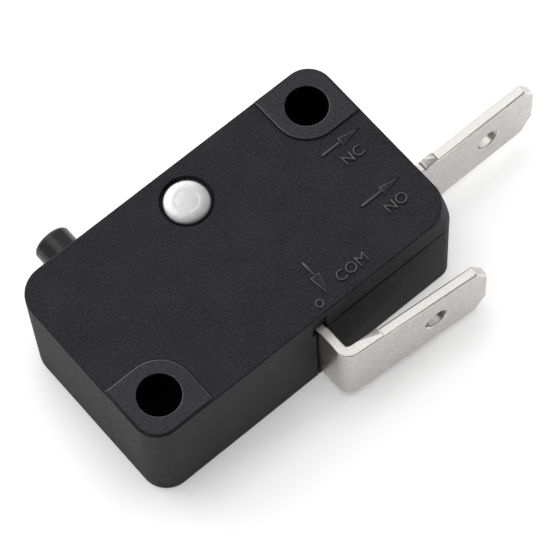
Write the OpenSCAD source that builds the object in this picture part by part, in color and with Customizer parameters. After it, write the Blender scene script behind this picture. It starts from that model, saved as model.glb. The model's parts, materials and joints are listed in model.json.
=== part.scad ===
// Snap-action micro switch with a pin plunger and two quick-connect tabs.
// Origin on the axis of the mounting hole nearest the plunger, at the back face.
// +X runs to the straight tab, +Y to the plunger, +Z out of the marked face.

/* [Body] */
// Distance between the mounting holes along the body
hole_pitch_x = 22.2; // [21.5:0.1:24]
// Distance between the mounting holes across the body
hole_pitch_y = 10.3; // [10:0.1:12]
// Distance from each mounting hole to its two nearest sides
hole_edge = 2.8; // [2.6:0.1:3.2]
// Diameter of the mounting holes
hole_d = 3.2; // [2.6:0.1:3.6]
// Thickness of the body
body_h = 10.3; // [10:0.1:12]
// Corner radius beside each mounting hole
corner_r = 2; // [0.5:0.1:2.4]
// Corner radius beside the plunger
plunger_corner_r = 2.4; // [0.5:0.1:2.8]
// Corner radius of the case beside the tabs
tab_corner_r = 1.2; // [0.5:0.1:1.4]
// Corner radius of the marked face beside the tabs
crown_r = 2.6; // [1.5:0.1:3]
// Height over which that corner flares out to the case
crown_h = 2; // [1:0.1:2.2]

/* [Mouldings] */
// Wall of the cover's skirts
skirt_t = 1.2; // [0.9:0.1:1.3]
// Floor of the case
floor_t = 1.5; // [1.2:0.1:1.8]
// Top plate of the cover
plate_t = 1.5; // [1.1:0.1:2]
// Depth of the cover down to the seam
cover_depth = 2.65; // [2.4:0.05:2.9]
// Open seam between case and cover
seam_gap = 0.1; // [0.05:0.01:0.2]
// Clearance between mouldings and terminals that fit into each other
fit_gap = 0.08; // [0.04:0.01:0.12]
// Gap left where moving pieces meet
touch_gap = 0.05; // [0.02:0.01:0.08]
// Radius of each boss round its mounting hole
boss_r = 2.7; // [2.2:0.1:3]
// Rise of the bosses above the face of the cover
boss_rise = 0.15; // [0.05:0.05:0.3]
// Clearance of the cover's edges beside the case
boss_gap = 0.04; // [0.03:0.01:0.1]
// Ribs that hold the terminals
rib_t = 0.8; // [0.5:0.1:1]
// Rounding of the front skirt beside the bent terminal
slot_round = 0.1; // [0.05:0.05:0.4]
// Radius of the recess in the front skirt above the bent terminal
recess_r = 0.6; // [0.4:0.1:0.9]
// Depth of that recess
recess_depth = 0.3; // [0.2:0.05:0.4]
// Plate left above that recess
recess_roof = 0.6; // [0.4:0.1:1]

/* [Plunger] */
// Diameter of the pin
plunger_d = 3; // [2.6:0.1:3.4]
// Distance of the pin from the nearest mounting hole
plunger_x = 2.7; // [2.4:0.1:3]
// Free position of the tip above that hole
free_position = 16.3; // [15.5:0.1:17]
// Length of the guide in the case
guide_l = 2.2; // [1.8:0.1:2.5]
// Rounding of the tip
tip_r = 0.3; // [0.2:0.1:1]
// Width of the collar's ledge
collar_ledge = 0.4; // [0.2:0.05:0.5]
// Thickness of the collar and of the foot's yoke
collar_t = 0.75; // [0.5:0.05:0.9]
// Offset of the foot from the pin
foot_dx = 1.1; // [0.8:0.1:1.3]
// Radius of the end of the foot
foot_r = 0.5; // [0.4:0.05:0.6]

/* [Rivet] */
// Place of the rivet along the body
rivet_x = 10.9; // [10:0.1:12]
// Distance of the rivet from the back side
rivet_inset = 2.9; // [2.8:0.1:3.3]
// Diameter of the shank
rivet_d = 2; // [1.6:0.1:2.2]
// Diameter of the head
rivet_head_d = 3.5; // [3:0.1:3.7]
// Height of the head's rim
head_rim = 0.3; // [0.2:0.05:0.4]
// Height of the head's crown
head_crown = 0.25; // [0.15:0.05:0.4]
// Diameter of the recesses round the head and the clinched end
rivet_recess_d = 4; // [3.8:0.1:4.4]
// Depth of the recess round the head
rivet_recess = 0.6; // [0.3:0.1:0.9]
// Thickness of the clinched ring
clinch_t = 0.7; // [0.4:0.1:0.9]
// Bore of the clinched end
tube_d = 1.2; // [0.8:0.1:1.3]
// Depth of that bore
tube_depth = 3; // [2:0.1:5]

/* [Terminals] */
// Width of the tabs
tab_w = 6.35; // [5.6:0.05:6.4]
// Thickness of the tabs
tab_t = 0.8; // [0.6:0.05:0.9]
// Distance of the tabs below the seam
tab_drop = 0.1; // [0.05:0.05:0.5]
// Diameter of the hole in each tab
tab_hole_d = 1.9; // [1.4:0.1:2.4]
// Distance of that hole from the tip
tab_hole_inset = 4.5; // [3:0.1:5]
// Bevel along the edges of each tab
tab_bevel = 0.1; // [0.05:0.01:0.25]
// Chamfer of the tip corners along the tab
tip_l = 1; // [0.5:0.1:2]
// Chamfer of the tip corners across the tab
tip_w = 1.5; // [0.5:0.1:2]
// Step of the shoulders at the root of each tab
shoulder = 0.2; // [0.05:0.01:0.3]
// Length of the root from the wall or the bend to the shoulders
root_l = 2.4; // [1.5:0.1:4]
// Distance of the straight tab's near face from the nearest hole line
no_y = 1.8; // [1.5:0.1:2]
// Reach of the straight tab past the end of the body
no_reach = 11.8; // [9:0.1:14]
// Place of the bent terminal along the body
com_x = 12; // [11.6:0.1:12.6]
// Gap between the body and the bent tab
com_gap = 2.25; // [1.5:0.05:4]
// Length of the bent tab past its bend
com_l = 11.5; // [10:0.1:14]
// Angle by which the bent tab leans away from the body
com_splay = 5; // [0:0.5:8]
// Inner radius of the bends
bend_r = 0.3; // [0.2:0.05:0.5]

/* [Mechanism] */
// Distance of the contacts from the tab end of the body
contact_inset = 5.4; // [5:0.1:6]
// Open gap between the contacts
contact_gap = 1.05; // [0.8:0.05:1.2]
// Diameter of the contacts
contact_d = 3; // [2:0.1:3.4]
// Height of a contact's rim
contact_rim = 0.35; // [0.25:0.05:0.4]
// Height of a contact's crown
contact_crown = 0.25; // [0.15:0.05:0.3]
// Diameter of the stud that joins the two faces of the moving contact
stud_d = 1.2; // [0.8:0.1:1.6]
// Thickness of the contact arm
arm_t = 0.5; // [0.3:0.05:0.6]
// Width of the contact arm
arm_w = 4.2; // [3.8:0.1:4.3]
// Length of the arm past the rim of its contact
arm_over = 0.4; // [0.2:0.1:0.6]
// Length of the knife edges of the arm
knife_l = 0.4; // [0.35:0.05:0.6]
// Depth of the notches for the knife edges
notch = 0.3; // [0.2:0.02:0.4]
// Place of the fork of the bent terminal along the body
fork_x = 7.2; // [7:0.1:7.8]
// Rise of the fork above the arm
fork_rise = 0.8; // [0.5:0.1:1]
// Depth of the fork's slot below the arm
fork_drop = 2.2; // [2:0.1:2.4]
// Place on the arm where the spring hooks in
hook_x = 15; // [14:0.1:16]
// Length of the straight ends of the spring
spring_lead = 0.4; // [0.3:0.05:0.6]
// Mean radius of the coil
coil_r = 0.6; // [0.45:0.05:0.65]
// Wire of the spring
wire_d = 0.3; // [0.2:0.02:0.34]
// Turns of the spring
coil_turns = 12; // [8:1:14]
// Clearance of the coil in the fork and in the arm's window
coil_gap = 0.25; // [0.15:0.05:0.4]
// Pivot of the lever along the body
lever_x = -0.4; // [-0.5:0.1:-0.2]
// Pivot of the lever above the arm
lever_rise = 2.75; // [2.6:0.05:3]
// Length of the lever from its pivot to its end
lever_l = 6.9; // [6.4:0.1:7]
// Thickness of the lever
lever_t = 0.7; // [0.5:0.05:0.8]
// Width of the lever and of the plunger's foot
lever_w = 1.8; // [1.4:0.1:2]
// Radius of the lever's pivot
knuckle_r = 0.5; // [0.45:0.05:0.6]
// Slope of the lever at rest
lever_slope = 11.6; // [10:0.1:13]

/* [Hidden] */
$fn = 48;
over = 1;

// Outline and walls
left = -hole_edge;
right = hole_pitch_x + hole_edge;
front = -hole_edge;
back = hole_pitch_y + hole_edge;
wall_t = skirt_t + fit_gap;
in_left = left + wall_t;
in_right = right - wall_t;
in_front = front + wall_t;
in_back = back - wall_t;
face_z = body_h - boss_rise;
seam_z = face_z - cover_depth;
plate_z = face_z - plate_t;
mid_z = body_h / 2;
crown_flare = (sqrt(2) - 1) * (crown_r - tab_corner_r);

// Terminals
tab_top = seam_z - tab_drop;
tab_z = tab_top - tab_w;
inner_z = max(floor_t + touch_gap, tab_z);
com_right = com_x + tab_t;
skirt_end = com_x - fit_gap - boss_gap;
bend_y = front - com_gap + bend_r;
strip_y = in_front + rib_t + fit_gap;
strip_back = strip_y + tab_t;
no_back = no_y + tab_t;
plate_x = right - contact_inset - contact_d / 2 - arm_over;

// Contacts and arm
contact_x = right - contact_inset;
contact_t = contact_rim + contact_crown;
arm_y = no_back + 2 * contact_t + contact_gap + arm_t / 2;
stop_y = arm_y + arm_t / 2 + contact_t + touch_gap;
fork_right = fork_x + tab_t;
knife_x = fork_right - notch + touch_gap;
slot_w = 2 * coil_r + wire_d + 2 * coil_gap;

// Lever and plunger
lever_y = arm_y + lever_rise;
foot_x = plunger_x + foot_dx;
foot_y = lever_y - (foot_x - lever_x) * tan(lever_slope)
         + (lever_t / 2 + foot_r + touch_gap) / cos(lever_slope);
guide_y = back - guide_l;
collar_r = plunger_d / 2 + collar_ledge;
collar_y = guide_y - touch_gap - collar_t;
rivet_y = back - rivet_inset;
neck_r = rivet_inset - skirt_t - 2 * fit_gap;

// Box between two corners.
module block(x0, x1, y0, y1, z0, z1) {
    translate([x0, y0, z0])
        cube([x1 - x0, y1 - y0, z1 - z0]);
}

// Cylinder along +Y.
module rod_y(r, h) {
    rotate([-90, 0, 0])
        cylinder(r = r, h = h);
}

// What a round corner takes off below a height; turn 0 is the corner at the least x and y.
module corner(x, y, turn, r, top) {
    translate([x, y, -over]) rotate(turn) difference() {
        translate([-over, -over, 0])
            cube([r + over, r + over, top + over]);
        translate([r, r, -over])
            cylinder(r = r, h = top + 3 * over);
    }
}

// The body's outline between two heights.
module outline(z0, z1) {
    difference() {
        block(left, right, front, back, z0, z1);
        corner(left, front, 0, corner_r, body_h + over);
        corner(right, front, 90, tab_corner_r, body_h + over);
        corner(right, back, 180, corner_r, body_h + over);
        corner(left, back, 270, plunger_corner_r, body_h + over);
    }
}

// Both mounting holes, each with the nearest corner of the body towards its own -X and -Y.
module at_holes() {
    children();
    translate([hole_pitch_x, hole_pitch_y, 0])
        rotate(180)
            children();
}

// Corner block with a round nose about its mounting hole.
module boss(r, z0, z1) {
    reach = hole_edge + over;
    translate([0, 0, z0]) linear_extrude(z1 - z0) union() {
        circle(r = r);
        translate([-reach, -reach]) square([reach + r, reach]);
        translate([-reach, -reach]) square([reach, reach + r]);
    }
}

// Cap of a ball over a circle of radius r.
module cap(r, h) {
    ball_r = (r * r + h * h) / (2 * h);
    intersection() {
        translate([0, 0, h - ball_r])
            sphere(r = ball_r);
        cylinder(r = r, h = h + over);
    }
}

module case() {
    color("#3b3d41") difference() {
        union() {
            case_tray();
            case_inside();
            intersection() {
                outline(0, body_h);
                at_holes() boss(boss_r, 0, body_h);
            }
        }
        at_holes() translate([0, 0, -over])
            cylinder(d = hole_d, h = body_h + 2 * over);
        translate([rivet_x, rivet_y, -over])
            cylinder(r = rivet_d / 2 + touch_gap, h = body_h);
        translate([rivet_x, rivet_y, -over])
            cylinder(d = rivet_recess_d, h = over + clinch_t + 2 * touch_gap);
        translate([plunger_x, guide_y - over, mid_z])
            rod_y(plunger_d / 2 + touch_gap, guide_l + 2 * over);
        block(com_x - fit_gap, com_right + fit_gap, front - over, in_front, tab_z - fit_gap, body_h);
        block(in_right, right + over, no_y - fit_gap, no_back + fit_gap, tab_z - fit_gap, body_h);
        translate([lever_x, lever_y, floor_t])
            cylinder(r = knuckle_r + touch_gap, h = body_h);
    }
}

// Floor and low walls, left out where the deep skirts of the cover stand.
module case_tray() {
    difference() {
        outline(0, seam_z);
        block(in_left, in_right, in_front, in_back, floor_t, body_h);
        block(left - over, in_left, 0, back + over, -over, body_h);
        block(0, com_x - fit_gap, front - over, in_front, -over, body_h);
    }
}

// Posts, ribs and seats on the floor.
module case_inside() {
    guide_half = collar_r + touch_gap;
    strip_x = com_x - bend_r;
    translate([rivet_x, rivet_y, 0])
        cylinder(r = rivet_recess_d / 2, h = seam_z);
    translate([rivet_x, rivet_y, 0])
        cylinder(r = neck_r, h = plate_z);
    block(plunger_x - guide_half, plunger_x + guide_half, guide_y, back - skirt_t, 0, seam_z);
    block(contact_x - rib_t, contact_x + rib_t, stop_y, hole_pitch_y, 0, seam_z);
    block(in_left, lever_x, lever_y - 2 * knuckle_r, lever_y + 2 * knuckle_r, 0, seam_z);
    block(strip_x - 3 * rib_t, strip_x - rib_t, in_front, strip_y - fit_gap, 0, mid_z);
    block(strip_x - 3 * rib_t, strip_x - rib_t, strip_back + fit_gap, strip_back + fit_gap + rib_t, 0, mid_z);
    block(in_right - 2 * rib_t, right - skirt_t, no_y - fit_gap - rib_t, no_y - fit_gap, 0, tab_top);
    block(in_right - 2 * rib_t, right - skirt_t, no_back + fit_gap, no_back + fit_gap + rib_t, 0, tab_top);
}

module cover() {
    color("#303135") difference() {
        union() {
            outline(plate_z, face_z);
            cover_skirts();
        }
        at_holes() boss(boss_r + boss_gap, -over, body_h + over);
        translate([rivet_x, rivet_y, 0])
            cylinder(r = rivet_d / 2 + touch_gap, h = body_h + over);
        translate([rivet_x, rivet_y, face_z - rivet_recess])
            cylinder(d = rivet_recess_d, h = rivet_recess + over);
        block(skirt_end, com_right + fit_gap, front - over, in_front, -over, tab_top + shoulder + fit_gap);
        corner(skirt_end, front, 90, slot_round, seam_z);
        slot_recess();
        crown_corner();
    }
}

// Deep skirts on the plunger end and beside it, shallow skirts down to the seam elsewhere.
module cover_skirts() {
    intersection() {
        outline(0, face_z);
        union() {
            block(left, left + skirt_t, 0, back, 0, face_z);
            block(0, skirt_end, front, front + skirt_t, 0, face_z);
            difference() {
                block(left, right, front, back, seam_z + seam_gap, face_z);
                block(left + skirt_t, right - skirt_t, front + skirt_t, back - skirt_t, 0, face_z);
            }
        }
    }
}

// Round recess that gives the bent terminal room where it leaves the cover.
module slot_recess() {
    roof = face_z - recess_roof;
    translate([com_x, front + recess_depth - recess_r, seam_z])
        cylinder(r = recess_r, h = roof - seam_z);
    block(com_x, com_right + fit_gap, front - over, front + recess_depth, seam_z, roof);
}

// The corner beside the tabs: round at the face, flaring out to the small corner of the case.
module crown_corner() {
    translate([right, front, face_z - crown_h]) rotate(90) difference() {
        translate([-over, -over, 0])
            cube([crown_r + over, crown_r + over, crown_h + over]);
        translate([crown_r, crown_r, 0])
            cylinder(r1 = crown_r + crown_flare, r2 = crown_r, h = crown_h);
        translate([crown_r, crown_r, crown_h])
            cylinder(r = crown_r, h = 2 * over);
    }
}

module rivet() {
    seat = face_z - rivet_recess;
    ring_r = rivet_recess_d / 2 - clinch_t;
    color("#c9cacb") translate([rivet_x, rivet_y, 0]) difference() {
        union() {
            translate([0, 0, touch_gap])
                cylinder(d = rivet_d, h = seat);
            translate([0, 0, seat])
                cylinder(d = rivet_head_d, h = head_rim);
            translate([0, 0, seat + head_rim])
                cap(rivet_head_d / 2, head_crown);
            translate([0, 0, touch_gap + clinch_t / 2])
                cylinder(r = ring_r, h = clinch_t / 2);
            translate([0, 0, touch_gap + clinch_t / 2])
                rotate_extrude() translate([ring_r, 0]) circle(d = clinch_t);
        }
        translate([0, 0, -over])
            cylinder(d = tube_d, h = over + tube_depth);
    }
}

module plunger() {
    color("#242529") union() {
        translate([plunger_x, collar_y, mid_z]) rotate([-90, 0, 0])
            pin(free_position - collar_y);
        translate([plunger_x, collar_y, mid_z])
            rod_y(collar_r, collar_t);
        block(plunger_x - foot_r, foot_x + foot_r, collar_y - collar_t, collar_y,
              mid_z - lever_w / 2, mid_z + lever_w / 2);
        block(foot_x - foot_r, foot_x + foot_r, foot_y, collar_y, mid_z - lever_w / 2, mid_z + lever_w / 2);
        translate([foot_x, foot_y, mid_z - lever_w / 2])
            cylinder(r = foot_r, h = lever_w);
    }
}

// Round pin with a rounded tip.
module pin(l) {
    r = plunger_d / 2;
    rotate_extrude() union() {
        square([r, l - tip_r]);
        square([r - tip_r, l]);
        translate([r - tip_r, l - tip_r]) intersection() {
            circle(r = tip_r);
            square(tip_r);
        }
    }
}

// Tab along +X with its thickness along +Y: a plain root, then a blade with bevelled edges.
module tab(l) {
    b = tab_bevel;
    difference() {
        union() {
            block(0, root_l, 0, tab_t, tab_z - shoulder, tab_top + shoulder);
            translate([0, 0, tab_z]) rotate([90, 0, 90]) linear_extrude(l)
                polygon([[b, 0], [tab_t - b, 0], [tab_t, b], [tab_t, tab_w - b],
                         [tab_t - b, tab_w], [b, tab_w], [0, tab_w - b], [0, b]]);
        }
        translate([l, 0, tab_z]) tip_cut();
        translate([l, 0, tab_top]) mirror([0, 0, 1]) tip_cut();
        translate([l - tab_hole_inset, -over, tab_z + tab_w / 2])
            rod_y(tab_hole_d / 2, tab_t + 2 * over);
    }
}

// Slanted cut of one tip corner.
module tip_cut() {
    translate([0, tab_t + over, 0]) rotate([90, 0, 0]) linear_extrude(tab_t + 2 * over)
        polygon([[-tip_l - tip_l / tip_w, -over], [0, tip_w], [over, tip_w], [over, -over]]);
}

// Quarter or less of a bend in the strip, about an upright axis.
module bend(x, y, from, by, z0, z1) {
    translate([x, y, z0]) rotate(from) rotate_extrude(angle = by)
        translate([bend_r, 0]) square([tab_t, z1 - z0]);
}

module com_terminal() {
    tab_bend_x = com_right + bend_r;
    strip_x = com_x - bend_r;
    fork_bend_x = fork_right + bend_r;
    fork_y = strip_back + bend_r;
    fork_top = arm_y + fork_rise;
    color("#cbc7bf") difference() {
        union() {
            translate([tab_bend_x, bend_y, 0]) rotate(-com_splay) translate([0, -bend_r - tab_t, 0])
                tab(com_l);
            bend(tab_bend_x, bend_y, 180, 90 - com_splay, tab_z - shoulder, tab_top + shoulder);
            block(com_x, com_right, bend_y, front - touch_gap, tab_z - shoulder, tab_top + shoulder);
            block(com_x, com_right, bend_y, in_front - touch_gap, tab_z, tab_top);
            block(com_x, com_right, bend_y, strip_y - bend_r, inner_z, tab_top);
            bend(strip_x, strip_y - bend_r, 0, 90, inner_z, tab_top);
            block(fork_bend_x, strip_x, strip_y, strip_back, inner_z, tab_top);
            bend(fork_bend_x, fork_y, 180, 90, inner_z, tab_top);
            block(fork_x, fork_right, fork_y, fork_top, inner_z, tab_top);
        }
        block(fork_x - over, fork_right + over, arm_y - fork_drop, fork_top + over,
              mid_z - slot_w / 2, mid_z + slot_w / 2);
        translate([fork_right - notch, arm_y, 0]) rotate(-45)
            cube([tab_t, tab_t, body_h]);
    }
}

module no_terminal() {
    color("#cbc7bf") union() {
        translate([right + touch_gap, no_y, 0])
            tab(no_reach - touch_gap);
        block(in_right + touch_gap, right + root_l, no_y, no_back, tab_z, tab_top);
        block(plate_x, right + root_l, no_y, no_back, inner_z, tab_top);
    }
}

// Crowned face of a contact along its own +Z.
module contact_face() {
    cylinder(d = contact_d, h = contact_rim);
    translate([0, 0, contact_rim])
        cap(contact_d / 2, contact_crown);
}

module no_contact() {
    color("#d9d9d7") translate([contact_x, no_back, mid_z]) rotate([-90, 0, 0]) union()
        contact_face();
}

module moving_contact() {
    color("#d9d9d7") translate([contact_x, arm_y, mid_z]) union() {
        translate([0, arm_t / 2, 0]) rotate([-90, 0, 0]) contact_face();
        translate([0, -arm_t / 2, 0]) rotate([90, 0, 0]) contact_face();
        translate([0, -arm_t / 2, 0]) rod_y(stud_d / 2, arm_t);
    }
}

module contact_arm() {
    low = arm_y - arm_t / 2;
    high = arm_y + arm_t / 2;
    end_x = contact_x + contact_d / 2 + arm_over;
    color("#b9804b") difference() {
        translate([0, 0, mid_z - arm_w / 2]) linear_extrude(arm_w)
            polygon([[knife_x, arm_y], [knife_x + knife_l, low], [end_x, low],
                     [end_x, high], [knife_x + knife_l, high]]);
        block(knife_x - over, hook_x - spring_lead, low - over, high + over,
              mid_z - slot_w / 2, mid_z + slot_w / 2);
        block(hook_x - over, hook_x + touch_gap, low - over, high + over,
              mid_z - wire_d / 2 - touch_gap, mid_z + wire_d / 2 + touch_gap);
        translate([contact_x, low - over, mid_z])
            rod_y(stud_d / 2 + touch_gap, arm_t + 2 * over);
    }
}

module lever() {
    color("#d9d2c0") translate([lever_x, lever_y, mid_z - lever_w / 2]) rotate(-lever_slope) difference() {
        union() {
            cylinder(r = knuckle_r, h = lever_w);
            block(0, lever_l, -lever_t / 2, lever_t / 2, 0, lever_w);
        }
        block(lever_l - spring_lead - touch_gap, lever_l + over, -lever_t, lever_t,
              lever_w / 2 - wire_d / 2 - touch_gap, lever_w / 2 + wire_d / 2 + touch_gap);
    }
}

// Spring wire: straight ends on the axis, the coil swelling out of them within one turn.
turn_steps = 12;
wire_sides = 6;
coil_steps = coil_turns * turn_steps;
lever_hook = lever_l - spring_lead;
wire_from = [lever_x + lever_hook * cos(lever_slope), lever_y - lever_hook * sin(lever_slope), mid_z];
wire_to = [hook_x, arm_y, mid_z];
wire_run = norm(wire_to - wire_from);
wire_axis = (wire_to - wire_from) / wire_run;
wire_side = [-wire_axis[1], wire_axis[0], 0];
wire_up = [0, 0, 1];
coil_run = wire_run - 4 * spring_lead;

function coil_point(i) =
    let(u = i / coil_steps,
        a = 360 * coil_turns * u,
        r = coil_r * min(1, coil_turns * min(u, 1 - u)))
    wire_from + wire_axis * (2 * spring_lead + coil_run * u) + r * (cos(a) * wire_side + sin(a) * wire_up);
wire_path = concat([wire_from], [for (i = [0 : coil_steps]) coil_point(i)], [wire_to]);
last = len(wire_path) - 1;

// One ring of the wire's skin, square to the path.
function wire_ring(i) =
    let(d = wire_path[min(i + 1, last)] - wire_path[max(i - 1, 0)],
        t = d / norm(d),
        out = i == 0 || i == last ? wire_up : wire_axis,
        s = out - t * (out * t),
        n = norm(s) < 0.01 ? wire_up : s / norm(s),
        b = cross(t, n))
    [for (k = [0 : wire_sides - 1])
        wire_path[i] + wire_d / 2 * (cos(360 * k / wire_sides) * n + sin(360 * k / wire_sides) * b)];

module spring() {
    n = wire_sides;
    points = [for (i = [0 : last]) each wire_ring(i)];
    sides = [for (i = [0 : last - 1], k = [0 : n - 1])
        [i * n + k, (i + 1) * n + k, (i + 1) * n + (k + 1) % n, i * n + (k + 1) % n]];
    ends = [[for (k = [0 : n - 1]) k], [for (k = [n - 1 : -1 : 0]) last * n + k]];
    color("#a9a9ab")
        polyhedron(points, concat(sides, ends));
}

case();
cover();
rivet();
plunger();
com_terminal();
no_terminal();
no_contact();
contact_arm();
moving_contact();
lever();
spring();
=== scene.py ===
import bpy, bmesh, json, math
from mathutils import Matrix, Vector


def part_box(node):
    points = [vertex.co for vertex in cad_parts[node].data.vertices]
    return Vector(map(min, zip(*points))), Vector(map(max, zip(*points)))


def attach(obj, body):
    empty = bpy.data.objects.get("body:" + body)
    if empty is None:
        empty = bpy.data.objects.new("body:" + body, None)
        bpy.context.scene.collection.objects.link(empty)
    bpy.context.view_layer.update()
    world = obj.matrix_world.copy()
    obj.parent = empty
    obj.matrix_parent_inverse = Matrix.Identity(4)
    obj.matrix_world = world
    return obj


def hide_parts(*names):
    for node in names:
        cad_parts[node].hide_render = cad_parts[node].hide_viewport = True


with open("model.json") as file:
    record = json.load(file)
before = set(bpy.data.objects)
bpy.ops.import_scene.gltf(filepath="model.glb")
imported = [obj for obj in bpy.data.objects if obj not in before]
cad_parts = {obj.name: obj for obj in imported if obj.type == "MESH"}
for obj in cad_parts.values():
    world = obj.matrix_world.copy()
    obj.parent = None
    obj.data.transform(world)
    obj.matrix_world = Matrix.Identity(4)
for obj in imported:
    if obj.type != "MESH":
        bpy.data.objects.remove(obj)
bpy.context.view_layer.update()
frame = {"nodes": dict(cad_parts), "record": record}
nodes = frame["nodes"]
mm = 0.001  # lengths in the settings are in mm
near = 0.02  # mm, as good as on a face
hair = 0.001  # mm, as good as the same point
print("frame loaded:", len(nodes), "nodes")


def addObject(name, data):
    thing = bpy.data.objects.new(name, data)
    bpy.context.scene.collection.objects.link(thing)
    return thing


# camera, as the photograph is taken
cameraSet = {"place": (-38.055, -66.876, 200.878), "aim": (13.267, 3.548, 5.0), "roll": -4.56,
             "lens": 194.754, "sensor": 36, "near": 10, "far": 20000}

cameraData = bpy.data.cameras.new("photoCamera")
cameraData.sensor_width = cameraSet["sensor"]
cameraData.lens = cameraSet["lens"]
cameraData.clip_start = cameraSet["near"] * mm
cameraData.clip_end = cameraSet["far"] * mm
camera = addObject("photoCamera", cameraData)
cameraPlace = Vector(cameraSet["place"]) * mm
lookAlong = Vector(cameraSet["aim"]) * mm - cameraPlace
turn = lookAlong.to_track_quat("-Z", "Y").to_matrix().to_4x4()
roll = Matrix.Rotation(math.radians(cameraSet["roll"]), 4, "Z")
camera.matrix_world = Matrix.Translation(cameraPlace) @ turn @ roll
bpy.context.scene.camera = camera
print("camera placed")


# nodes that the groups and materials are made of: noise scales are per metre
def newGroup(name, inputs, outputs):
    group = bpy.data.node_groups.new(name, "ShaderNodeTree")
    for label, value in inputs.items():
        socket = group.interface.new_socket(label, in_out="INPUT", socket_type="NodeSocketFloat")
        socket.default_value = value
    for label, kind in outputs.items():
        group.interface.new_socket(label, in_out="OUTPUT", socket_type="NodeSocket" + kind)
    return group, group.nodes.new("NodeGroupInput"), group.nodes.new("NodeGroupOutput")


def objectPoint(tree):
    return tree.nodes.new("ShaderNodeTexCoord").outputs["Object"]


def noiseNode(tree, point, settings):
    node = tree.nodes.new("ShaderNodeTexNoise")
    for label, value in settings.items():
        node.inputs[label].default_value = value
    tree.links.new(point, node.inputs["Vector"])
    return node


def bumpNode(tree, height, strength, distance):
    node = tree.nodes.new("ShaderNodeBump")
    node.inputs["Distance"].default_value = distance * mm
    tree.links.new(height, node.inputs["Height"])
    tree.links.new(strength, node.inputs["Strength"])
    return node.outputs["Normal"]


def rangeNode(tree, value, span, result):
    node = tree.nodes.new("ShaderNodeMapRange")
    for label, number in zip(("From Min", "From Max", "To Min", "To Max"), (*span, *result)):
        node.inputs[label].default_value = number
    tree.links.new(value, node.inputs["Value"])
    return node.outputs["Result"]


def mathNode(tree, operation, first, second):
    node = tree.nodes.new("ShaderNodeMath")
    node.operation = operation
    for socket, value in zip(node.inputs, (first, second)):
        if isinstance(value, (int, float)):
            socket.default_value = value
        else:
            tree.links.new(value, socket)
    return node.outputs[0]


def mixColour(tree, fac, first, second):
    mix = tree.nodes.new("ShaderNodeMix")
    mix.data_type = "RGBA"
    for label, value in (("A", first), ("B", second)):
        if isinstance(value, tuple):
            mix.inputs[label].default_value = (*value, 1)
        else:
            tree.links.new(value, mix.inputs[label])
    tree.links.new(fac, mix.inputs["Factor"])
    return mix.outputs["Result"]


# moulded grain: spark-eroded pits from the tool, and faint flow clouds
grainSet = {"pits": {"Scale": 6000, "Detail": 2, "Roughness": 0.6}, "lift": 0.07,
            "clouds": {"Scale": 420, "Detail": 4, "Roughness": 0.55}, "cloudShare": 0.2, "tone": (0.38, 0.62)}

grainGroup, grainIn, grainOut = newGroup("mouldGrain", {"Depth": 0.4},
                                         {"Normal": "Vector", "Pits": "Float", "Clouds": "Float"})
point = objectPoint(grainGroup)
pits = noiseNode(grainGroup, point, grainSet["pits"]).outputs["Fac"]
clouds = noiseNode(grainGroup, point, grainSet["clouds"]).outputs["Fac"]
lift = bumpNode(grainGroup, pits, grainIn.outputs["Depth"], grainSet["lift"])
for label, value in (("Normal", lift), ("Pits", pits), ("Clouds", clouds)):
    grainGroup.links.new(value, grainOut.inputs[label])

# rolled plate: fine streaks along X, and tin spots
streakSet = {"stretch": (300, 9000, 9000), "streaks": {"Scale": 1, "Detail": 3, "Roughness": 0.6},
             "lift": 0.006, "spots": {"Detail": 5, "Roughness": 0.6}, "tone": (0.35, 0.65)}

streakGroup, streakIn, streakOut = newGroup("plateStreak", {"Depth": 0.3, "Spot Scale": 2600},
                                            {"Normal": "Vector", "Streaks": "Float", "Spots": "Float"})
point = objectPoint(streakGroup)
stretch = streakGroup.nodes.new("ShaderNodeMapping")
stretch.inputs["Scale"].default_value = streakSet["stretch"]
streakGroup.links.new(point, stretch.inputs["Vector"])
streaks = noiseNode(streakGroup, stretch.outputs["Vector"], streakSet["streaks"]).outputs["Fac"]
spots = noiseNode(streakGroup, point, streakSet["spots"])
streakGroup.links.new(streakIn.outputs["Spot Scale"], spots.inputs["Scale"])
lift = bumpNode(streakGroup, streaks, streakIn.outputs["Depth"], streakSet["lift"])
for label, value in (("Normal", lift), ("Streaks", streaks), ("Spots", spots.outputs["Fac"])):
    streakGroup.links.new(value, streakOut.inputs[label])

# edges rubbed smooth and tinted: a mask on the rounded edges, broken up by noise, lowers their roughness for wear
# and gives them a painted edge tone, painted shade on the plastics and a painted highlight on the tabs
edgeWearLightSet = {"patches": {"Scale": 1500, "Detail": 3, "Roughness": 0.6}, "span": (0.38, 0.62), "result": (0.35, 1)}

edgeWearLightGroup, edgeWearLightIn, edgeWearLightOut = newGroup("edgeWearAndPaintedLight", {"Amount": 0.5}, {"Mask": "Float"})
patches = noiseNode(edgeWearLightGroup, objectPoint(edgeWearLightGroup), edgeWearLightSet["patches"]).outputs["Fac"]
edge = edgeWearLightGroup.nodes.new("ShaderNodeAttribute")
edge.attribute_name = "wearAndPaintedLight"
broken = mathNode(edgeWearLightGroup, "MULTIPLY", edge.outputs["Fac"],
                  rangeNode(edgeWearLightGroup, patches, edgeWearLightSet["span"], edgeWearLightSet["result"]))
edgeWearLightGroup.links.new(mathNode(edgeWearLightGroup, "MULTIPLY", broken, edgeWearLightIn.outputs["Amount"]), edgeWearLightOut.inputs["Mask"])
print("node groups made")


def newMaterial(name):
    material = bpy.data.materials.new(name)
    material.use_nodes = True
    tree = material.node_tree
    return material, tree, tree.nodes["Principled BSDF"]


def groupNode(tree, group, values):
    node = tree.nodes.new("ShaderNodeGroup")
    node.node_tree = group
    for label, value in values.items():
        node.inputs[label].default_value = value
    return node
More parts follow.
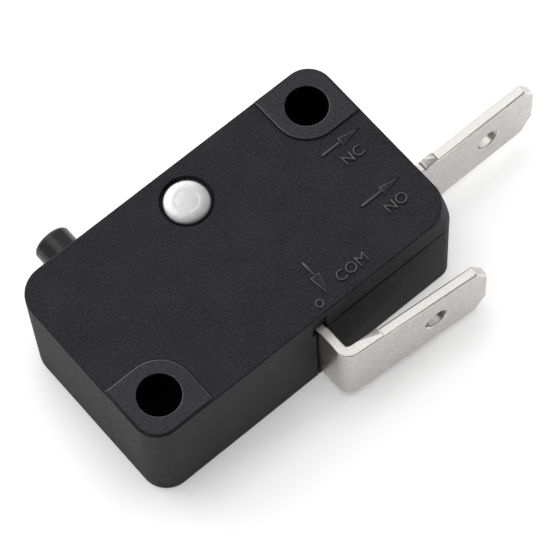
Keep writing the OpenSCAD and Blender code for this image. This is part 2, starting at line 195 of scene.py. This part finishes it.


# colour from the tone, roughness from the texture; on the rounded edges the roughness drops for wear and the colour
# turns to the painted edge tone (painted shade on the plastics, a painted highlight on the tabs)
def dressShader(tree, shader, settings, tone, texture, normal):
    textureSpan = (0.3, 0.7)
    colour = mixColour(tree, tone, settings["dark"], settings["light"])
    rough = rangeNode(tree, texture, textureSpan, settings["rough"])
    if "wearAndPaintedLight" in settings:
        mask = groupNode(tree, edgeWearLightGroup, {"Amount": settings["wearAndPaintedLight"]}).outputs["Mask"]
        colour = mixColour(tree, mask, colour, settings["paintedEdgeTone"])
        rough = mathNode(tree, "SUBTRACT", rough, mathNode(tree, "MULTIPLY", mask, settings["polish"]))
    tree.links.new(colour, shader.inputs["Base Color"])
    tree.links.new(rough, shader.inputs["Roughness"])
    tree.links.new(normal, shader.inputs["Normal"])


# moulded plastic: colour from clouds and pits, roughness and bump from pits
def plasticMaterial(name, settings):
    material, tree, shader = newMaterial(name)
    grain = groupNode(tree, grainGroup, {"Depth": settings["grain"]})
    share = grainSet["cloudShare"]
    blend = mathNode(tree, "ADD", mathNode(tree, "MULTIPLY", grain.outputs["Clouds"], share),
                     mathNode(tree, "MULTIPLY", grain.outputs["Pits"], 1 - share))
    tone = rangeNode(tree, blend, grainSet["tone"], (0, 1))
    dressShader(tree, shader, settings, tone, grain.outputs["Pits"], grain.outputs["Normal"])
    shader.inputs["Specular IOR Level"].default_value = settings["gloss"]
    return material


# metal: colour from the spots, roughness and bump from the streaks
def metalMaterial(name, settings):
    material, tree, shader = newMaterial(name)
    plate = groupNode(tree, streakGroup, {"Depth": settings["streak"], "Spot Scale": settings["spots"]})
    tone = rangeNode(tree, plate.outputs["Spots"], streakSet["tone"], (0, 1))
    dressShader(tree, shader, settings, tone, plate.outputs["Streaks"], plate.outputs["Normal"])
    shader.inputs["Metallic"].default_value = settings["metal"]
    return material


def boxOf(name):
    low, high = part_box(name)
    return low / mm, high / mm


mounts = {mount["name"]: mount for mount in frame["record"]["mounts"]}
holeAxes = [Vector(mounts[name]["pos_m"]) / mm for name in ("near_hole", "far_hole")]
holeRadius = mounts["near_hole"]["dims"]["r_mm"]
caseLow, caseHigh = boxOf("case")
coverHigh = boxOf("cover")[1]
bodyMiddle = (caseLow + caseHigh) / 2
rivetLow, rivetHigh = boxOf("rivet")
rivetMiddle = (rivetLow + rivetHigh) / 2
shoulderTop = boxOf("no_terminal")[1].z
tabEnds = [boxOf(name)[1].x for name in ("com_terminal", "no_terminal")]


def sideGaps(p):
    return p.x - caseLow.x, caseHigh.x - p.x, p.y - caseLow.y, caseHigh.y - p.y


def fromHole(p):
    return min((p.xy - axis.xy).length for axis in holeAxes)


# slivers where the flared corner runs out just under the top face close up into its ends
def gatherCrown(mesh, depth):
    top = max(v.co.z for v in mesh.verts)
    ends = [v for v in mesh.verts if top - v.co.z < hair * mm and min(sideGaps(v.co / mm)) < hair]
    loose = [v for v in mesh.verts if hair * mm < top - v.co.z < depth * mm]
    merge = {v: min(ends, key=lambda end: (end.co - v.co).length) for v in loose}
    bmesh.ops.weld_verts(mesh, targetmap=merge)


# the rivet's head pressed flat, with a wide round rim
def spunHead(mesh, head):
    old = [f for f in mesh.faces if f.calc_center_median().z / mm > head["seat"]]
    bmesh.ops.delete(mesh, geom=old, context="FACES")
    centre = Vector((rivetMiddle.x, rivetMiddle.y, 0)) * mm
    points = [mesh.verts.new(centre + Vector((radius, 0, height)) * mm) for radius, height in head["profile"]]
    line = [mesh.edges.new(pair) for pair in zip(points, points[1:])]
    bmesh.ops.spin(mesh, geom=points + line, cent=centre, axis=(0, 0, 1), angle=math.tau, steps=head["steps"],
                   use_merge=True)
    bmesh.ops.remove_doubles(mesh, verts=mesh.verts[:], dist=hair * mm)
    bmesh.ops.recalc_face_normals(mesh, faces=mesh.faces[:])


# a groove pressed across the shoulder of a tab
def notchRoot(mesh, notch):
    top = max(v.co.z for v in mesh.verts)
    for x in (notch["at"] - notch["half"], notch["at"], notch["at"] + notch["half"]):
        bmesh.ops.bisect_plane(mesh, geom=mesh.verts[:] + mesh.edges[:] + mesh.faces[:],
                               plane_co=(x * mm, 0, 0), plane_no=(1, 0, 0))
    for v in mesh.verts:
        if abs(v.co.x / mm - notch["at"]) < hair and top - v.co.z < notch["half"] * mm:
            v.co.z -= notch["depth"] * mm


# the boss comes up close to the cover's skirt on the front
def closeSeam(mesh, seam):
    for v in mesh.verts:
        if abs(v.co.y / mm - caseLow.y) < near and abs(v.co.x / mm - seam["at"]) < near:
            v.co.x += seam["shift"] * mm


def newPiece(name, mesh, materials, smoothAngle):
    data = bpy.data.meshes.new(name)
    mesh.to_mesh(data)
    mesh.free()
    for material in materials:
        data.materials.append(material)
    for polygon in data.polygons:
        polygon.use_smooth = True
    data.set_sharp_from_angle(angle=math.radians(smoothAngle))
    print(name, len(data.polygons), "faces")
    return addObject(name, data)


# copy of a CAD piece with its outer edges rounded
def roundedCopy(nodeName, pieceName, body, material, settings):
    flatAngle = math.radians(0.4)  # facets of one flat face
    inlays = settings.get("inlays", [])
    mesh = bmesh.new()
    mesh.from_mesh(nodes[nodeName].data)
    bmesh.ops.remove_doubles(mesh, verts=mesh.verts[:], dist=hair * mm)
    bmesh.ops.dissolve_limit(mesh, angle_limit=flatAngle, verts=mesh.verts[:], edges=mesh.edges[:])
    if "gather" in settings:
        gatherCrown(mesh, settings["gather"])
    if "head" in settings:
        spunHead(mesh, settings["head"])
    wearAndPaintedLight = mesh.faces.layers.float.new("wearAndPaintedLight")
    for step in settings["steps"]:
        chosen = [e for e in mesh.edges if len(e.link_faces) == 2 and e.is_convex
                  and e.calc_face_angle() > math.radians(step["sharper"]) and step["where"](e)]
        made = bmesh.ops.bevel(mesh, geom=chosen, offset=step["width"] * mm, offset_type="OFFSET", affect="EDGES",
                               segments=step["segments"], profile=0.5, material=-1, clamp_overlap=False)
        for face in made["faces"]:
            face[wearAndPaintedLight] = 1
    if "notch" in settings:
        notchRoot(mesh, settings["notch"])
    if "seam" in settings:
        closeSeam(mesh, settings["seam"])
    mesh.normal_update()
    for face in mesh.faces:
        face.material_index = 0
        for slot, inlay in enumerate(inlays, 1):
            if inlay["where"](face):
                face.material_index = slot
    piece = newPiece(pieceName, mesh, [material] + [inlay["finish"] for inlay in inlays], settings["smooth"])
    level = piece.modifiers.new("levelFaces", "WEIGHTED_NORMAL")  # flat faces stay flat beside the round edges
    level.keep_sharp = True
    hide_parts(nodeName)
    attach(piece, body)


# which edges of the body are rounded: plumb is a share of the edge, the rest are lengths
edgePick = {"plumb": 0.9, "corner": 2.7, "holeRing": 0.1, "rimRing": 0.3, "skinDrop": 0.5, "crown": 0.0005,
            "footDrop": 1, "rivetRing": 0.5}


def middle(edge):
    return (edge.verts[0].co + edge.verts[1].co) / 2 / mm


def upright(edge):
    along = edge.verts[1].co - edge.verts[0].co
    return abs(along.z) > edgePick["plumb"] * along.length


# on a side of the body or on one of its round corners, with a wall that faces out
def onSide(edge):
    p = middle(edge)
    wall = min(edge.link_faces, key=lambda face: abs(face.normal.z)).normal
    gaps = sorted(sideGaps(p))
    return wall.xy.dot((p - bodyMiddle).xy) > 0 and (gaps[0] < near or gaps[1] < edgePick["corner"])


def onBossTop(edge):
    return middle(edge).z > caseHigh.z - near


def holeRim(edge):
    return onBossTop(edge) and fromHole(middle(edge)) < holeRadius + edgePick["holeRing"]


def bossLip(edge):
    return onBossTop(edge) and fromHole(middle(edge)) > holeRadius + edgePick["holeRing"] and not onSide(edge)


def bossRim(edge):
    return onBossTop(edge) and fromHole(middle(edge)) > holeRadius + edgePick["rimRing"] and onSide(edge)


def caseSkin(edge):
    z = middle(edge).z
    return z < near or (onSide(edge) and not upright(edge) and z < caseHigh.z - edgePick["skinDrop"])


def coverRim(edge):
    return onSide(edge) and middle(edge).z > coverHigh.z - edgePick["crown"]


def coverFoot(edge):
    return onSide(edge) and not upright(edge) and middle(edge).z < coverHigh.z - edgePick["footDrop"]


def rivetRim(edge):
    p = middle(edge)
    reach = rivetHigh.x - rivetMiddle.x + edgePick["rivetRing"]
    return p.z > coverHigh.z - near and (p - rivetMiddle).xy.length < reach


# cover: fine-grained black moulding
# its rounded edges take a darker colour: painted shade along the rims
coverSet = {"dark": (0.0074, 0.0074, 0.0090), "light": (0.0235, 0.0235, 0.0262), "paintedEdgeTone": (0.006, 0.006, 0.007),
            "rough": (0.56, 0.76), "grain": 1, "gloss": 0.21, "wearAndPaintedLight": 1, "polish": 0.34,
            "smooth": 32, "gather": 0.1,
            "steps": [{"sharper": 50, "width": 0.12, "segments": 3, "where": coverRim},
                      {"sharper": 50, "width": 0.08, "segments": 2, "where": coverFoot},
                      {"sharper": 50, "width": 0.05, "segments": 2, "where": rivetRim}]}
coverPlastic = plasticMaterial("coverPlastic", coverSet)
roundedCopy("cover", "coverShell", "housing", coverPlastic, coverSet)

# which faces of the bosses have a finish of their own: the first three are parts of a unit normal
bossPick = {"level": 0.99, "slant": 0.05, "plumb": 0.1, "lipDrop": 0.16, "padDrop": 0.01, "holeRing": 0.1}


# the rounded lips of the bosses, towards the cover and into the holes
def lipFace(face):
    p = face.calc_center_median() / mm
    inner = face.normal.xy.dot((p - bodyMiddle).xy) < 0 or fromHole(p) < holeRadius + bossPick["holeRing"]
    return inner and p.z > caseHigh.z - bossPick["lipDrop"] and bossPick["slant"] < face.normal.z < bossPick["level"]


# the flat tops of the bosses
def padFace(face):
    return face.normal.z > bossPick["level"] and face.calc_center_median().z / mm > caseHigh.z - bossPick["padDrop"]


# the wall of a mounting hole
def boreWall(face):
    return abs(face.normal.z) < bossPick["plumb"] and fromHole(face.calc_center_median() / mm) < holeRadius


# case: the same moulding from a smoother tool, its bosses proud of the cover
# mounting-hole walls: nearly black, painted shade for the shade deep in the bores
boreShadeSet = {"dark": (0.0010, 0.0010, 0.0012), "light": (0.0018, 0.0018, 0.0021), "rough": (0.80, 0.90),
           "grain": 0.3, "gloss": 0.05}
lipSet = {"dark": (0.007, 0.007, 0.008), "light": (0.014, 0.014, 0.016), "rough": (0.22, 0.32),
          "grain": 0.2, "gloss": 0.85}
# boss tops: coloured lighter than the case's walls, lit and shaded tones of one plastic, the lighter one a painted
# sheen beside their lower roughness
padSheenSet = {"dark": (0.0120, 0.0120, 0.0136), "light": (0.0265, 0.0265, 0.0300), "rough": (0.40, 0.56),
          "grain": 0.7, "gloss": 0.26}
# the case's rounded edges take a darker colour: painted shade along the boss rims and the lower edges
caseSet = {"dark": (0.0060, 0.0060, 0.0074), "light": (0.0160, 0.0160, 0.0182), "paintedEdgeTone": (0.008, 0.008, 0.009),
           "rough": (0.54, 0.72), "grain": 0.8, "gloss": 0.19, "wearAndPaintedLight": 1, "polish": 0.34,
           "smooth": 32, "seam": {"at": 2.7, "shift": 0.032},
           "inlays": [{"finish": plasticMaterial("boreShadePlastic", boreShadeSet), "where": boreWall},
                      {"finish": plasticMaterial("lipPlastic", lipSet), "where": lipFace},
                      {"finish": plasticMaterial("padSheenPlastic", padSheenSet), "where": padFace}],
           "steps": [{"sharper": 50, "width": 0.26, "segments": 4, "where": bossRim},
                     {"sharper": 50, "width": 0.14, "segments": 4, "where": bossLip},
                     {"sharper": 50, "width": 0.08, "segments": 3, "where": holeRim},
                     {"sharper": 50, "width": 0.1, "segments": 3, "where": caseSkin}]}
casePlastic = plasticMaterial("casePlastic", caseSet)
roundedCopy("case", "caseShell", "housing", casePlastic, caseSet)

# which faces of the tabs have a finish of their own: the first three are parts of a unit normal
tabPick = {"flat": 0.9, "slant": 0.3, "edgeOn": 0.5, "grooveReach": 2.6, "padFrom": 1.45, "padTo": 2.35,
           "padDrop": 0.1, "holesFrom": 17, "endReach": 1, "holeReach": 1.2}


# the cut edges of the tabs
def cutFace(face):
    return abs(face.normal.z) > tabPick["flat"]


# slopes on the straight tab's shoulder that face away from the body: the groove's wall and the shoulder's end
def grooveWall(face):
    slanted = tabPick["slant"] < face.normal.x < tabPick["flat"] and face.normal.z > tabPick["slant"]
    return slanted and face.calc_center_median().x / mm < caseHigh.x + tabPick["grooveReach"]


# the top of the shoulder beyond the groove
def shoulderPad(face):
    p = face.calc_center_median() / mm
    beyond = tabPick["padFrom"] < p.x - caseHigh.x < tabPick["padTo"]
    return beyond and face.normal.z > tabPick["flat"] and p.z > shoulderTop - tabPick["padDrop"]


# the walls of the tabs' holes, clear of the plate's ends
def punchWall(face):
    p = face.calc_center_median() / mm
    clear = p.x > tabPick["holesFrom"] and min(abs(p.x - end) for end in tabEnds) > tabPick["endReach"]
    return clear and abs(face.normal.y) < tabPick["edgeOn"] and abs(p.z - bodyMiddle.z) < tabPick["holeReach"]


# the bent tab stays sharp on the side that faces the body
def awayFromBody(edge):
    out = sum((face.normal for face in edge.link_faces), Vector())
    return not (out.y > tabPick["edgeOn"] and out.z > tabPick["edgeOn"])


# tabs: stamped plate with a satin tin finish
# cut edges: a sheared finish of their own, painted lighter and less metallic than the faces, partly a painted
# highlight on the up-facing strips
cutHighlightSet = {"dark": (0.77, 0.745, 0.71), "light": (0.89, 0.875, 0.85), "metal": 0.5,
          "rough": (0.30, 0.44), "streak": 1, "spots": 7000}
# hole walls: near white and mostly diffuse, a painted highlight inside the tabs' holes
punchHighlightSet = {"dark": (0.94, 0.92, 0.89), "light": (0.98, 0.97, 0.95), "metal": 0.25,
            "rough": (0.30, 0.42), "streak": 0.3, "spots": 2600}
# groove wall and shoulder end: dark brown, painted shade in the groove and at the shoulder's end
grooveShadeSet = {"dark": (0.16, 0.115, 0.075), "light": (0.26, 0.20, 0.14), "metal": 0.6,
              "rough": (0.45, 0.60), "streak": 0.3, "spots": 2600}
# the tabs' rounded edges take a lighter colour: a painted highlight along them
tabSet = {"dark": (0.470, 0.450, 0.434), "light": (0.555, 0.533, 0.514), "paintedEdgeTone": (0.78, 0.765, 0.75), "metal": 1,
          "rough": (0.27, 0.40), "streak": 0.35, "spots": 2600, "wearAndPaintedLight": 0.6, "polish": 0.08, "smooth": 32,
          "inlays": [{"finish": metalMaterial("tabCutHighlight", cutHighlightSet), "where": cutFace},
                     {"finish": metalMaterial("tabHoleHighlight", punchHighlightSet), "where": punchWall}],
          "steps": [{"sharper": 60, "width": 0.13, "segments": 3, "where": awayFromBody},
                    {"sharper": 30, "width": 0.04, "segments": 2, "where": awayFromBody}]}
tabPlate = metalMaterial("tabPlate", tabSet)
roundedCopy("com_terminal", "commonTab", "housing", tabPlate, tabSet)

openSet = {**tabSet, "notch": {"at": 26.3, "half": 0.2, "depth": 0.2},
           "inlays": tabSet["inlays"] + [{"finish": metalMaterial("tabGrooveShade", grooveShadeSet), "where": grooveWall},
                                         {"finish": tabPlate, "where": shoulderPad}]}
roundedCopy("no_terminal", "openTab", "housing", tabPlate, openSet)

# rivet: satin aluminium
rivetSet = {"dark": (0.66, 0.66, 0.665), "light": (0.74, 0.74, 0.745), "metal": 1,
            "rough": (0.34, 0.46), "streak": 0.3, "spots": 2600, "smooth": 40, "steps": [],
            "head": {"seat": 9.56, "steps": 64,
                     "profile": [(1.74, 9.56), (1.78, 9.85), (1.765, 9.96), (1.70, 10.06), (1.56, 10.145),
                                 (1.36, 10.205), (1.15, 10.24), (0.9, 10.262), (0.86, 10.257), (0.82, 10.26),
                                 (0.4, 10.275), (0, 10.28)]}}
rivetMetal = metalMaterial("rivetMetal", rivetSet)
roundedCopy("rivet", "coverRivet", "housing", rivetMetal, rivetSet)
print("edges rounded")


# pieces that keep the CAD's shape get their finish
plungerSet = {"dark": (0.0055, 0.0055, 0.0060), "light": (0.0095, 0.0095, 0.0102), "rough": (0.20, 0.28),
              "grain": 0.15, "gloss": 0.42}
leverSet = {"dark": (0.60, 0.55, 0.45), "light": (0.66, 0.62, 0.52), "rough": (0.4, 0.55),
            "grain": 0.3, "gloss": 0.4}
silverSet = {"dark": (0.74, 0.74, 0.72), "light": (0.82, 0.82, 0.80), "metal": 1,
             "rough": (0.22, 0.34), "streak": 0.2, "spots": 2600}
armSet = {"dark": (0.62, 0.36, 0.18), "light": (0.72, 0.44, 0.24), "metal": 1,
          "rough": (0.26, 0.4), "streak": 0.3, "spots": 2600}
springSet = {"dark": (0.42, 0.42, 0.43), "light": (0.55, 0.55, 0.56), "metal": 1,
             "rough": (0.24, 0.36), "streak": 0.2, "spots": 2600}

contactSilver = metalMaterial("contactSilver", silverSet)
finishes = {"plunger": plasticMaterial("plungerPlastic", plungerSet),
            "lever": plasticMaterial("leverPlastic", leverSet),
            "no_contact": contactSilver, "moving_contact": contactSilver,
            "contact_arm": metalMaterial("armCopper", armSet),
            "spring": metalMaterial("springWire", springSet)}
for name, material in finishes.items():
    nodes[name].data.materials.clear()
    nodes[name].data.materials.append(material)
print("finishes given")


# terminal marks, moulded proud of the cover
markSet = {"lift": 0.11, "sink": 0.03, "round": 0.07, "headRound": 0.09, "segments": 3, "thicken": 0.022,
           "letterSteps": 2, "curveSteps": 5, "shaft": 0.11, "broad": 0.3, "level": 0.99, "smooth": 40,
           "letters": [{"word": "NC", "corner": (21.25, 4.75), "size": 1.22},
                       {"word": "NO", "corner": (21.05, -0.08), "size": 1.22},
                       {"word": "COM", "corner": (14.95, -1.82), "size": 1.22}],
           "arrows": [{"from": (20.43, 6.55), "neck": (22.1, 6.55), "tip": (23.98, 6.52), "half": 0.40},
                      {"from": (19.95, 1.68), "neck": (21.8, 1.69), "tip": (23.61, 1.70), "half": 0.37},
                      {"from": (13.96, 1.14), "neck": (13.97, -0.16), "tip": (13.74, -1.99), "half": 0.45}],
           "gate": {"middle": (12.85, -2.05), "radius": 0.28, "wire": 0.09, "sides": 10, "steps": 28}}
crestSet = {"dark": (0.009, 0.009, 0.011), "light": (0.015, 0.015, 0.017), "rough": (0.24, 0.32),
            "grain": 0.15, "gloss": 1}
faceZ = coverHigh.z


def addWord(mesh, letters):
    text = bpy.data.curves.new("letters", "FONT")
    text.body = letters["word"]
    text.size = letters["size"] * mm
    text.offset = (markSet["thicken"] - markSet["round"]) * mm
    text.extrude = (markSet["lift"] - markSet["round"]) * mm
    text.bevel_depth = markSet["round"] * mm
    text.bevel_resolution = markSet["letterSteps"]
    text.resolution_u = markSet["curveSteps"]
    stencil = addObject("letters", text)
    shape = bpy.data.meshes.new_from_object(stencil.evaluated_get(bpy.context.evaluated_depsgraph_get()))
    shape.transform(Matrix.Translation(Vector((*letters["corner"], faceZ)) * mm))
    mesh.from_mesh(shape)
    bpy.data.objects.remove(stencil)
    bpy.data.meshes.remove(shape)


# a flat outline raised off the cover, with a round rim
def addRaised(mesh, outline, rounding):
    corners = [mesh.verts.new((p.x * mm, p.y * mm, (faceZ - markSet["sink"]) * mm)) for p in outline]
    base = mesh.faces.new(corners)
    base.normal_update()
    if base.normal.z > 0:
        base.normal_flip()
    raised = bmesh.ops.extrude_face_region(mesh, geom=[base], use_keep_orig=True)["geom"]
    top = [v for v in raised if isinstance(v, bmesh.types.BMVert)]
    bmesh.ops.translate(mesh, verts=top, vec=(0, 0, (markSet["lift"] + markSet["sink"]) * mm))
    rim = [e for e in raised if isinstance(e, bmesh.types.BMEdge)]
    bmesh.ops.bevel(mesh, geom=rim, offset=rounding * mm, offset_type="OFFSET", affect="EDGES",
                    segments=markSet["segments"], profile=0.5, material=-1, clamp_overlap=True)


def addArrow(mesh, arrow):
    start, neck, tip = Vector(arrow["from"]), Vector(arrow["neck"]), Vector(arrow["tip"])
    side = (tip - start).normalized().orthogonal()
    thin, wide = side * markSet["shaft"], side * arrow["half"]
    addRaised(mesh, [start - thin, neck - thin, neck + thin, start + thin], markSet["round"])
    addRaised(mesh, [neck - wide, tip, neck + wide], markSet["headRound"])


# the ring that the moulding gate leaves
def addGate(mesh, gate):
    centre = Vector((*gate["middle"], faceZ)) * mm
    place = Matrix.Translation(centre + Vector((gate["radius"] * mm, 0, 0)))
    ring = bmesh.ops.create_circle(mesh, segments=gate["sides"], radius=gate["wire"] * mm,
                                   matrix=place @ Matrix.Rotation(math.radians(90), 4, "X"))
    ringEdges = list({e for v in ring["verts"] for e in v.link_edges})
    bmesh.ops.spin(mesh, geom=ring["verts"] + ringEdges, cent=centre, axis=(0, 0, 1), angle=math.tau,
                   steps=gate["steps"], use_merge=True)


marks = bmesh.new()
for letters in markSet["letters"]:
    addWord(marks, letters)
for arrow in markSet["arrows"]:
    addArrow(marks, arrow)
addGate(marks, markSet["gate"])
bmesh.ops.recalc_face_normals(marks, faces=marks.faces[:])
for face in marks.faces:  # the broad tops of the arrow heads have the grain of the cover
    if face.normal.z > markSet["level"] and face.calc_area() > markSet["broad"] * mm * mm:
        face.material_index = 1

markPlastic = plasticMaterial("markPlastic", crestSet)
terminalMarks = newPiece("terminalMarks", marks, [markPlastic, coverPlastic], markSet["smooth"])
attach(terminalMarks, "housing")
print("marks raised")


# floor: pale paint that keeps the shadow and reads white to the lens
floorSet = {"half": 2500, "drop": 0.02, "paint": (0.92, 0.92, 0.92), "rough": 0.9, "gloss": 0.1, "glow": 0.15}

floorMesh = bmesh.new()
bmesh.ops.create_grid(floorMesh, x_segments=1, y_segments=1, size=floorSet["half"] * mm)
floorData = bpy.data.meshes.new("floor")
floorMesh.to_mesh(floorData)
floorMesh.free()
floor = addObject("floor", floorData)
floor.location = (0, 0, -floorSet["drop"] * mm)

floorPaint, tree, shader = newMaterial("floorPaint")
shader.inputs["Base Color"].default_value = (*floorSet["paint"], 1)
shader.inputs["Roughness"].default_value = floorSet["rough"]
shader.inputs["Specular IOR Level"].default_value = floorSet["gloss"]
shader.inputs["Emission Color"].default_value = (1, 1, 1, 1)
path = tree.nodes.new("ShaderNodeLightPath")
seen = mathNode(tree, "MAXIMUM", path.outputs["Is Camera Ray"], path.outputs["Is Glossy Ray"])
seen = mathNode(tree, "MAXIMUM", seen, path.outputs["Is Transmission Ray"])
tree.links.new(mathNode(tree, "MULTIPLY", seen, floorSet["glow"]), shader.inputs["Emission Strength"])
floorData.materials.append(floorPaint)

# studio sky: an even tent with a bright band low behind the switch, dimmer towards the front
skySet = {"towards": (0.08, 0.95, 0.3), "stops": [(0, 0.06), (0.28, 0.14), (0.5, 0.44), (0.8, 0.60), (0.98, 1.9)]}

world = bpy.data.worlds.new("studio")
world.use_nodes = True
tree = world.node_tree
along = tree.nodes.new("ShaderNodeVectorMath")
along.operation = "DOT_PRODUCT"
along.inputs[1].default_value = Vector(skySet["towards"]).normalized()
tree.links.new(tree.nodes.new("ShaderNodeTexCoord").outputs["Generated"], along.inputs[0])
fade = tree.nodes.new("ShaderNodeValToRGB")
stops = fade.color_ramp.elements
while len(stops) < len(skySet["stops"]):
    stops.new(0.5)
for stop, (at, level) in zip(stops, skySet["stops"]):
    stop.position = at
    stop.color = (level, level, level, 1)
tree.links.new(rangeNode(tree, along.outputs["Value"], (-1, 1), (0, 1)), fade.inputs["Fac"])
tree.links.new(fade.outputs["Color"], tree.nodes["Background"].inputs["Color"])
bpy.context.scene.world = world

# a soft key behind the switch, so the shadow falls to the front, an even fill overhead, and a low lamp at the right
lampSet = {"keyLamp": {"place": (-60, 220, 400), "aim": (11, 5, 5), "size": 260, "power": 0.22, "glare": True},
           "fillLamp": {"place": (11, 5, 450), "aim": (11, 5, 5), "size": 300, "power": 0.95, "glare": False},
           "sideLamp": {"place": (280, -20, 60), "aim": (22, -4, 3), "size": 100, "power": 0.42, "glare": False}}

for name, settings in lampSet.items():
    lamp = bpy.data.lights.new(name, "AREA")
    lamp.size = settings["size"] * mm
    lamp.energy = settings["power"]
    stand = addObject(name, lamp)
    stand.location = Vector(settings["place"]) * mm
    stand.rotation_euler = (Vector(settings["aim"]) * mm - stand.location).to_track_quat("-Z", "Y").to_euler()
    stand.visible_glossy = settings["glare"]

bpy.context.scene.view_settings.view_transform = "Standard"
print("floor and light set")
